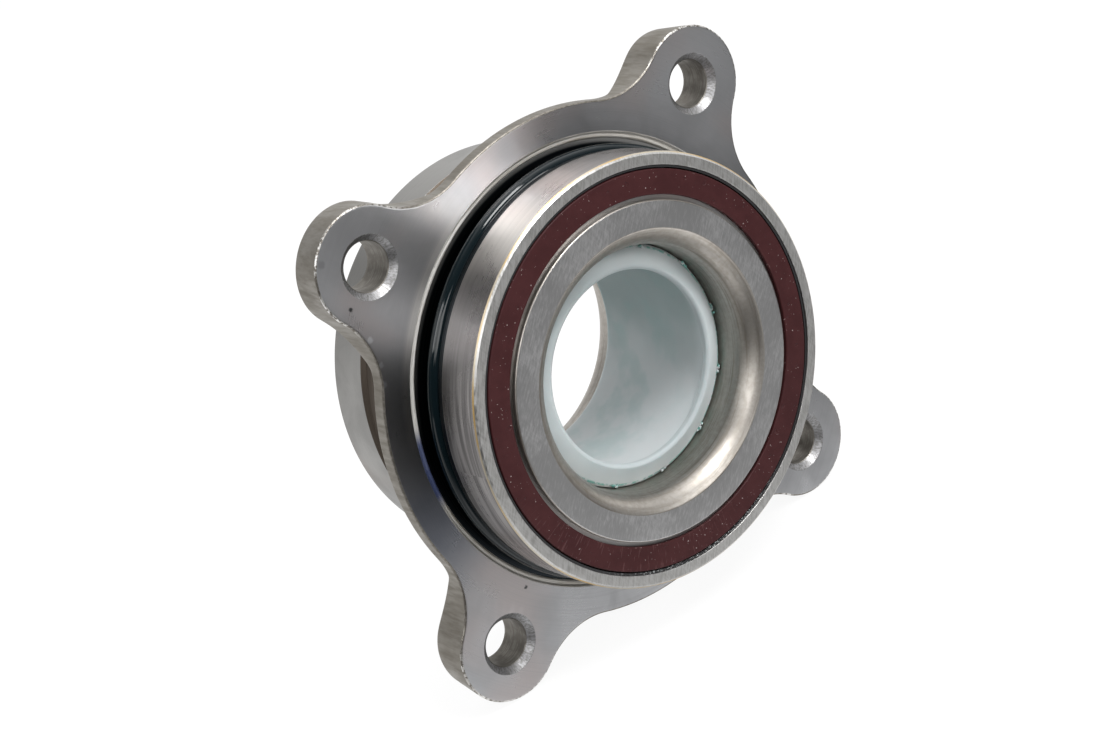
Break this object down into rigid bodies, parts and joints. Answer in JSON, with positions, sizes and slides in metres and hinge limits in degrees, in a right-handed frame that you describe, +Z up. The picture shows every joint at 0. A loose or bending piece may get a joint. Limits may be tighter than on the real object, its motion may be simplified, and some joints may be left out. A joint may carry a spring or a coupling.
{
  "type": "wheel hub bearing",
  "caption": "Flanged ball hub bearing: outer ring with bolt ears and pilot, split inner ring, caged balls, seals, speed encoder and bore sleeve.",
  "frame": {"origin": "centre of the flange's mounting face, on the bearing axis", "axes": "-Y along the bearing axis towards the knuckle side (pilot, O-ring and encoder), +Z up, with the bolt ears on the diagonals"},
  "size_m": [0.1179, 0.0579, 0.1179],
  "materials": {
    "turned_steel": "turned and forged steel, satin",
    "ground_steel": "ground hardened steel, satin",
    "thrower_steel": "pressed stainless sheet",
    "ball_steel": "polished",
    "coated_case": "rubber-coated pressed sheet",
    "black_rubber": "smooth nitrile rubber, semi-gloss",
    "encoder_maroon": "magnetised maroon rubber, satin",
    "sleeve_plastic": "milky moulded polyethylene",
    "cage_plastic": "moulded polyamide"
  },
  "bodies": {
    "outer": {"outer_ring": "turned_steel", "o_ring": "black_rubber", "seal_case_inboard": "coated_case", "seal_lip_inboard": "black_rubber", "seal_case_outboard": "coated_case", "seal_lip_outboard": "black_rubber"},
    "inner": {"inner_ring_inboard": "ground_steel", "inner_ring_outboard": "ground_steel", "slinger_inboard": "thrower_steel", "slinger_outboard": "thrower_steel", "encoder_ring": "encoder_maroon"},
    "sleeve": {"transport_sleeve": "sleeve_plastic"},
    "cage_inboard": {"cage_inboard": "cage_plastic"},
    "cage_outboard": {"cage_outboard": "cage_plastic"},
    "ball_inboard_01": {"ball_inboard_01": "ball_steel"},
    "ball_inboard_02": {"ball_inboard_02": "ball_steel"},
    "ball_inboard_03": {"ball_inboard_03": "ball_steel"},
    "ball_inboard_04": {"ball_inboard_04": "ball_steel"},
    "ball_inboard_05": {"ball_inboard_05": "ball_steel"},
    "ball_inboard_06": {"ball_inboard_06": "ball_steel"},
    "ball_inboard_07": {"ball_inboard_07": "ball_steel"},
    "ball_inboard_08": {"ball_inboard_08": "ball_steel"},
    "ball_inboard_09": {"ball_inboard_09": "ball_steel"},
    "ball_inboard_10": {"ball_inboard_10": "ball_steel"},
    "ball_inboard_11": {"ball_inboard_11": "ball_steel"},
    "ball_inboard_12": {"ball_inboard_12": "ball_steel"},
    "ball_inboard_13": {"ball_inboard_13": "ball_steel"},
    "ball_inboard_14": {"ball_inboard_14": "ball_steel"},
    "ball_inboard_15": {"ball_inboard_15": "ball_steel"},
    "ball_inboard_16": {"ball_inboard_16": "ball_steel"},
    "ball_inboard_17": {"ball_inboard_17": "ball_steel"},
    "ball_outboard_01": {"ball_outboard_01": "ball_steel"},
    "ball_outboard_02": {"ball_outboard_02": "ball_steel"},
    "ball_outboard_03": {"ball_outboard_03": "ball_steel"},
    "ball_outboard_04": {"ball_outboard_04": "ball_steel"},
    "ball_outboard_05": {"ball_outboard_05": "ball_steel"},
    "ball_outboard_06": {"ball_outboard_06": "ball_steel"},
    "ball_outboard_07": {"ball_outboard_07": "ball_steel"},
    "ball_outboard_08": {"ball_outboard_08": "ball_steel"},
    "ball_outboard_09": {"ball_outboard_09": "ball_steel"},
    "ball_outboard_10": {"ball_outboard_10": "ball_steel"},
    "ball_outboard_11": {"ball_outboard_11": "ball_steel"},
    "ball_outboard_12": {"ball_outboard_12": "ball_steel"},
    "ball_outboard_13": {"ball_outboard_13": "ball_steel"},
    "ball_outboard_14": {"ball_outboard_14": "ball_steel"},
    "ball_outboard_15": {"ball_outboard_15": "ball_steel"},
    "ball_outboard_16": {"ball_outboard_16": "ball_steel"},
    "ball_outboard_17": {"ball_outboard_17": "ball_steel"}
  },
  "joints": [
    {"name": "inner_spin", "type": "hinge", "parent": "outer", "child": "inner", "pos_m": [0, 0, 0], "axis": [0, 1, 0], "continuous": true},
    {"name": "sleeve_slide", "type": "slide", "parent": "inner", "child": "sleeve", "axis": [0, -1, 0], "range_m": [0, 0.055]},
    {"name": "cage_inboard_spin", "type": "hinge", "parent": "outer", "child": "cage_inboard", "pos_m": [0, 0.00135, 0], "axis": [0, 1, 0], "continuous": true},
    {"name": "cage_outboard_spin", "type": "hinge", "parent": "outer", "child": "cage_outboard", "pos_m": [0, 0.01935, 0], "axis": [0, 1, 0], "continuous": true},
    {"name": "ball_inboard_01_spin", "type": "hinge", "parent": "cage_inboard", "child": "ball_inboard_01", "pos_m": [0.0362, 0.00135, 0], "axis": [-0.5878, 0.809, 0], "continuous": true},
    {"name": "ball_inboard_02_spin", "type": "hinge", "parent": "cage_inboard", "child": "ball_inboard_02", "pos_m": [0.03376, 0.00135, 0.01308], "axis": [-0.5481, 0.809, -0.2123], "continuous": true},
    {"name": "ball_inboard_03_spin", "type": "hinge", "parent": "cage_inboard", "child": "ball_inboard_03", "pos_m": [0.02675, 0.00135, 0.02439], "axis": [-0.4344, 0.809, -0.396], "continuous": true},
    {"name": "ball_inboard_04_spin", "type": "hinge", "parent": "cage_inboard", "child": "ball_inboard_04", "pos_m": [0.01614, 0.00135, 0.0324], "axis": [-0.262, 0.809, -0.5262], "continuous": true},
    {"name": "ball_inboard_05_spin", "type": "hinge", "parent": "cage_inboard", "child": "ball_inboard_05", "pos_m": [0.00334, 0.00135, 0.03605], "axis": [-0.0542, 0.809, -0.5853], "continuous": true},
    {"name": "ball_inboard_06_spin", "type": "hinge", "parent": "cage_inboard", "child": "ball_inboard_06", "pos_m": [-0.00991, 0.00135, 0.03482], "axis": [0.1609, 0.809, -0.5653], "continuous": true},
    {"name": "ball_inboard_07_spin", "type": "hinge", "parent": "cage_inboard", "child": "ball_inboard_07", "pos_m": [-0.02182, 0.00135, 0.02889], "axis": [0.3542, 0.809, -0.4691], "continuous": true},
    {"name": "ball_inboard_08_spin", "type": "hinge", "parent": "cage_inboard", "child": "ball_inboard_08", "pos_m": [-0.03078, 0.00135, 0.01906], "axis": [0.4997, 0.809, -0.3094], "continuous": true},
    {"name": "ball_inboard_09_spin", "type": "hinge", "parent": "cage_inboard", "child": "ball_inboard_09", "pos_m": [-0.03558, 0.00135, 0.00665], "axis": [0.5778, 0.809, -0.108], "continuous": true},
    {"name": "ball_inboard_10_spin", "type": "hinge", "parent": "cage_inboard", "child": "ball_inboard_10", "pos_m": [-0.03558, 0.00135, -0.00665], "axis": [0.5778, 0.809, 0.108], "continuous": true},
    {"name": "ball_inboard_11_spin", "type": "hinge", "parent": "cage_inboard", "child": "ball_inboard_11", "pos_m": [-0.03078, 0.00135, -0.01906], "axis": [0.4997, 0.809, 0.3094], "continuous": true},
    {"name": "ball_inboard_12_spin", "type": "hinge", "parent": "cage_inboard", "child": "ball_inboard_12", "pos_m": [-0.02182, 0.00135, -0.02889], "axis": [0.3542, 0.809, 0.4691], "continuous": true},
    {"name": "ball_inboard_13_spin", "type": "hinge", "parent": "cage_inboard", "child": "ball_inboard_13", "pos_m": [-0.00991, 0.00135, -0.03482], "axis": [0.1609, 0.809, 0.5653], "continuous": true},
    {"name": "ball_inboard_14_spin", "type": "hinge", "parent": "cage_inboard", "child": "ball_inboard_14", "pos_m": [0.00334, 0.00135, -0.03605], "axis": [-0.0542, 0.809, 0.5853], "continuous": true},
    {"name": "ball_inboard_15_spin", "type": "hinge", "parent": "cage_inboard", "child": "ball_inboard_15", "pos_m": [0.01614, 0.00135, -0.0324], "axis": [-0.262, 0.809, 0.5262], "continuous": true},
    {"name": "ball_inboard_16_spin", "type": "hinge", "parent": "cage_inboard", "child": "ball_inboard_16", "pos_m": [0.02675, 0.00135, -0.02439], "axis": [-0.4344, 0.809, 0.396], "continuous": true},
    {"name": "ball_inboard_17_spin", "type": "hinge", "parent": "cage_inboard", "child": "ball_inboard_17", "pos_m": [0.03376, 0.00135, -0.01308], "axis": [-0.5481, 0.809, 0.2123], "continuous": true},
    {"name": "ball_outboard_01_spin", "type": "hinge", "parent": "cage_outboard", "child": "ball_outboard_01", "pos_m": [0.0362, 0.01935, 0], "axis": [0.5878, 0.809, 0], "continuous": true},
    {"name": "ball_outboard_02_spin", "type": "hinge", "parent": "cage_outboard", "child": "ball_outboard_02", "pos_m": [0.03376, 0.01935, 0.01308], "axis": [0.5481, 0.809, 0.2123], "continuous": true},
    {"name": "ball_outboard_03_spin", "type": "hinge", "parent": "cage_outboard", "child": "ball_outboard_03", "pos_m": [0.02675, 0.01935, 0.02439], "axis": [0.4344, 0.809, 0.396], "continuous": true},
    {"name": "ball_outboard_04_spin", "type": "hinge", "parent": "cage_outboard", "child": "ball_outboard_04", "pos_m": [0.01614, 0.01935, 0.0324], "axis": [0.262, 0.809, 0.5262], "continuous": true},
    {"name": "ball_outboard_05_spin", "type": "hinge", "parent": "cage_outboard", "child": "ball_outboard_05", "pos_m": [0.00334, 0.01935, 0.03605], "axis": [0.0542, 0.809, 0.5853], "continuous": true},
    {"name": "ball_outboard_06_spin", "type": "hinge", "parent": "cage_outboard", "child": "ball_outboard_06", "pos_m": [-0.00991, 0.01935, 0.03482], "axis": [-0.1609, 0.809, 0.5653], "continuous": true},
    {"name": "ball_outboard_07_spin", "type": "hinge", "parent": "cage_outboard", "child": "ball_outboard_07", "pos_m": [-0.02182, 0.01935, 0.02889], "axis": [-0.3542, 0.809, 0.4691], "continuous": true},
    {"name": "ball_outboard_08_spin", "type": "hinge", "parent": "cage_outboard", "child": "ball_outboard_08", "pos_m": [-0.03078, 0.01935, 0.01906], "axis": [-0.4997, 0.809, 0.3094], "continuous": true},
    {"name": "ball_outboard_09_spin", "type": "hinge", "parent": "cage_outboard", "child": "ball_outboard_09", "pos_m": [-0.03558, 0.01935, 0.00665], "axis": [-0.5778, 0.809, 0.108], "continuous": true},
    {"name": "ball_outboard_10_spin", "type": "hinge", "parent": "cage_outboard", "child": "ball_outboard_10", "pos_m": [-0.03558, 0.01935, -0.00665], "axis": [-0.5778, 0.809, -0.108], "continuous": true},
    {"name": "ball_outboard_11_spin", "type": "hinge", "parent": "cage_outboard", "child": "ball_outboard_11", "pos_m": [-0.03078, 0.01935, -0.01906], "axis": [-0.4997, 0.809, -0.3094], "continuous": true},
    {"name": "ball_outboard_12_spin", "type": "hinge", "parent": "cage_outboard", "child": "ball_outboard_12", "pos_m": [-0.02182, 0.01935, -0.02889], "axis": [-0.3542, 0.809, -0.4691], "continuous": true},
    {"name": "ball_outboard_13_spin", "type": "hinge", "parent": "cage_outboard", "child": "ball_outboard_13", "pos_m": [-0.00991, 0.01935, -0.03482], "axis": [-0.1609, 0.809, -0.5653], "continuous": true},
    {"name": "ball_outboard_14_spin", "type": "hinge", "parent": "cage_outboard", "child": "ball_outboard_14", "pos_m": [0.00334, 0.01935, -0.03605], "axis": [0.0542, 0.809, -0.5853], "continuous": true},
    {"name": "ball_outboard_15_spin", "type": "hinge", "parent": "cage_outboard", "child": "ball_outboard_15", "pos_m": [0.01614, 0.01935, -0.0324], "axis": [0.262, 0.809, -0.5262], "continuous": true},
    {"name": "ball_outboard_16_spin", "type": "hinge", "parent": "cage_outboard", "child": "ball_outboard_16", "pos_m": [0.02675, 0.01935, -0.02439], "axis": [0.4344, 0.809, -0.396], "continuous": true},
    {"name": "ball_outboard_17_spin", "type": "hinge", "parent": "cage_outboard", "child": "ball_outboard_17", "pos_m": [0.03376, 0.01935, -0.01308], "axis": [0.5481, 0.809, -0.2123], "continuous": true}
  ],
  "couplings": [
    {"joint": "cage_inboard_spin", "follows": "inner_spin", "ratio": 0.4379},
    {"joint": "cage_outboard_spin", "follows": "inner_spin", "ratio": 0.4379},
    {"joint": "ball_inboard_01_spin", "follows": "inner_spin", "ratio": -3.2074},
    {"joint": "ball_inboard_02_spin", "follows": "inner_spin", "ratio": -3.2074},
    {"joint": "ball_inboard_03_spin", "follows": "inner_spin", "ratio": -3.2074},
    {"joint": "ball_inboard_04_spin", "follows": "inner_spin", "ratio": -3.2074},
    {"joint": "ball_inboard_05_spin", "follows": "inner_spin", "ratio": -3.2074},
    {"joint": "ball_inboard_06_spin", "follows": "inner_spin", "ratio": -3.2074},
    {"joint": "ball_inboard_07_spin", "follows": "inner_spin", "ratio": -3.2074},
    {"joint": "ball_inboard_08_spin", "follows": "inner_spin", "ratio": -3.2074},
    {"joint": "ball_inboard_09_spin", "follows": "inner_spin", "ratio": -3.2074},
    {"joint": "ball_inboard_10_spin", "follows": "inner_spin", "ratio": -3.2074},
    {"joint": "ball_inboard_11_spin", "follows": "inner_spin", "ratio": -3.2074},
    {"joint": "ball_inboard_12_spin", "follows": "inner_spin", "ratio": -3.2074},
    {"joint": "ball_inboard_13_spin", "follows": "inner_spin", "ratio": -3.2074},
    {"joint": "ball_inboard_14_spin", "follows": "inner_spin", "ratio": -3.2074},
    {"joint": "ball_inboard_15_spin", "follows": "inner_spin", "ratio": -3.2074},
    {"joint": "ball_inboard_16_spin", "follows": "inner_spin", "ratio": -3.2074},
    {"joint": "ball_inboard_17_spin", "follows": "inner_spin", "ratio": -3.2074},
    {"joint": "ball_outboard_01_spin", "follows": "inner_spin", "ratio": -3.2074},
    {"joint": "ball_outboard_02_spin", "follows": "inner_spin", "ratio": -3.2074},
    {"joint": "ball_outboard_03_spin", "follows": "inner_spin", "ratio": -3.2074},
    {"joint": "ball_outboard_04_spin", "follows": "inner_spin", "ratio": -3.2074},
    {"joint": "ball_outboard_05_spin", "follows": "inner_spin", "ratio": -3.2074},
    {"joint": "ball_outboard_06_spin", "follows": "inner_spin", "ratio": -3.2074},
    {"joint": "ball_outboard_07_spin", "follows": "inner_spin", "ratio": -3.2074},
    {"joint": "ball_outboard_08_spin", "follows": "inner_spin", "ratio": -3.2074},
    {"joint": "ball_outboard_09_spin", "follows": "inner_spin", "ratio": -3.2074},
    {"joint": "ball_outboard_10_spin", "follows": "inner_spin", "ratio": -3.2074},
    {"joint": "ball_outboard_11_spin", "follows": "inner_spin", "ratio": -3.2074},
    {"joint": "ball_outboard_12_spin", "follows": "inner_spin", "ratio": -3.2074},
    {"joint": "ball_outboard_13_spin", "follows": "inner_spin", "ratio": -3.2074},
    {"joint": "ball_outboard_14_spin", "follows": "inner_spin", "ratio": -3.2074},
    {"joint": "ball_outboard_15_spin", "follows": "inner_spin", "ratio": -3.2074},
    {"joint": "ball_outboard_16_spin", "follows": "inner_spin", "ratio": -3.2074},
    {"joint": "ball_outboard_17_spin", "follows": "inner_spin", "ratio": -3.2074}
  ]
}
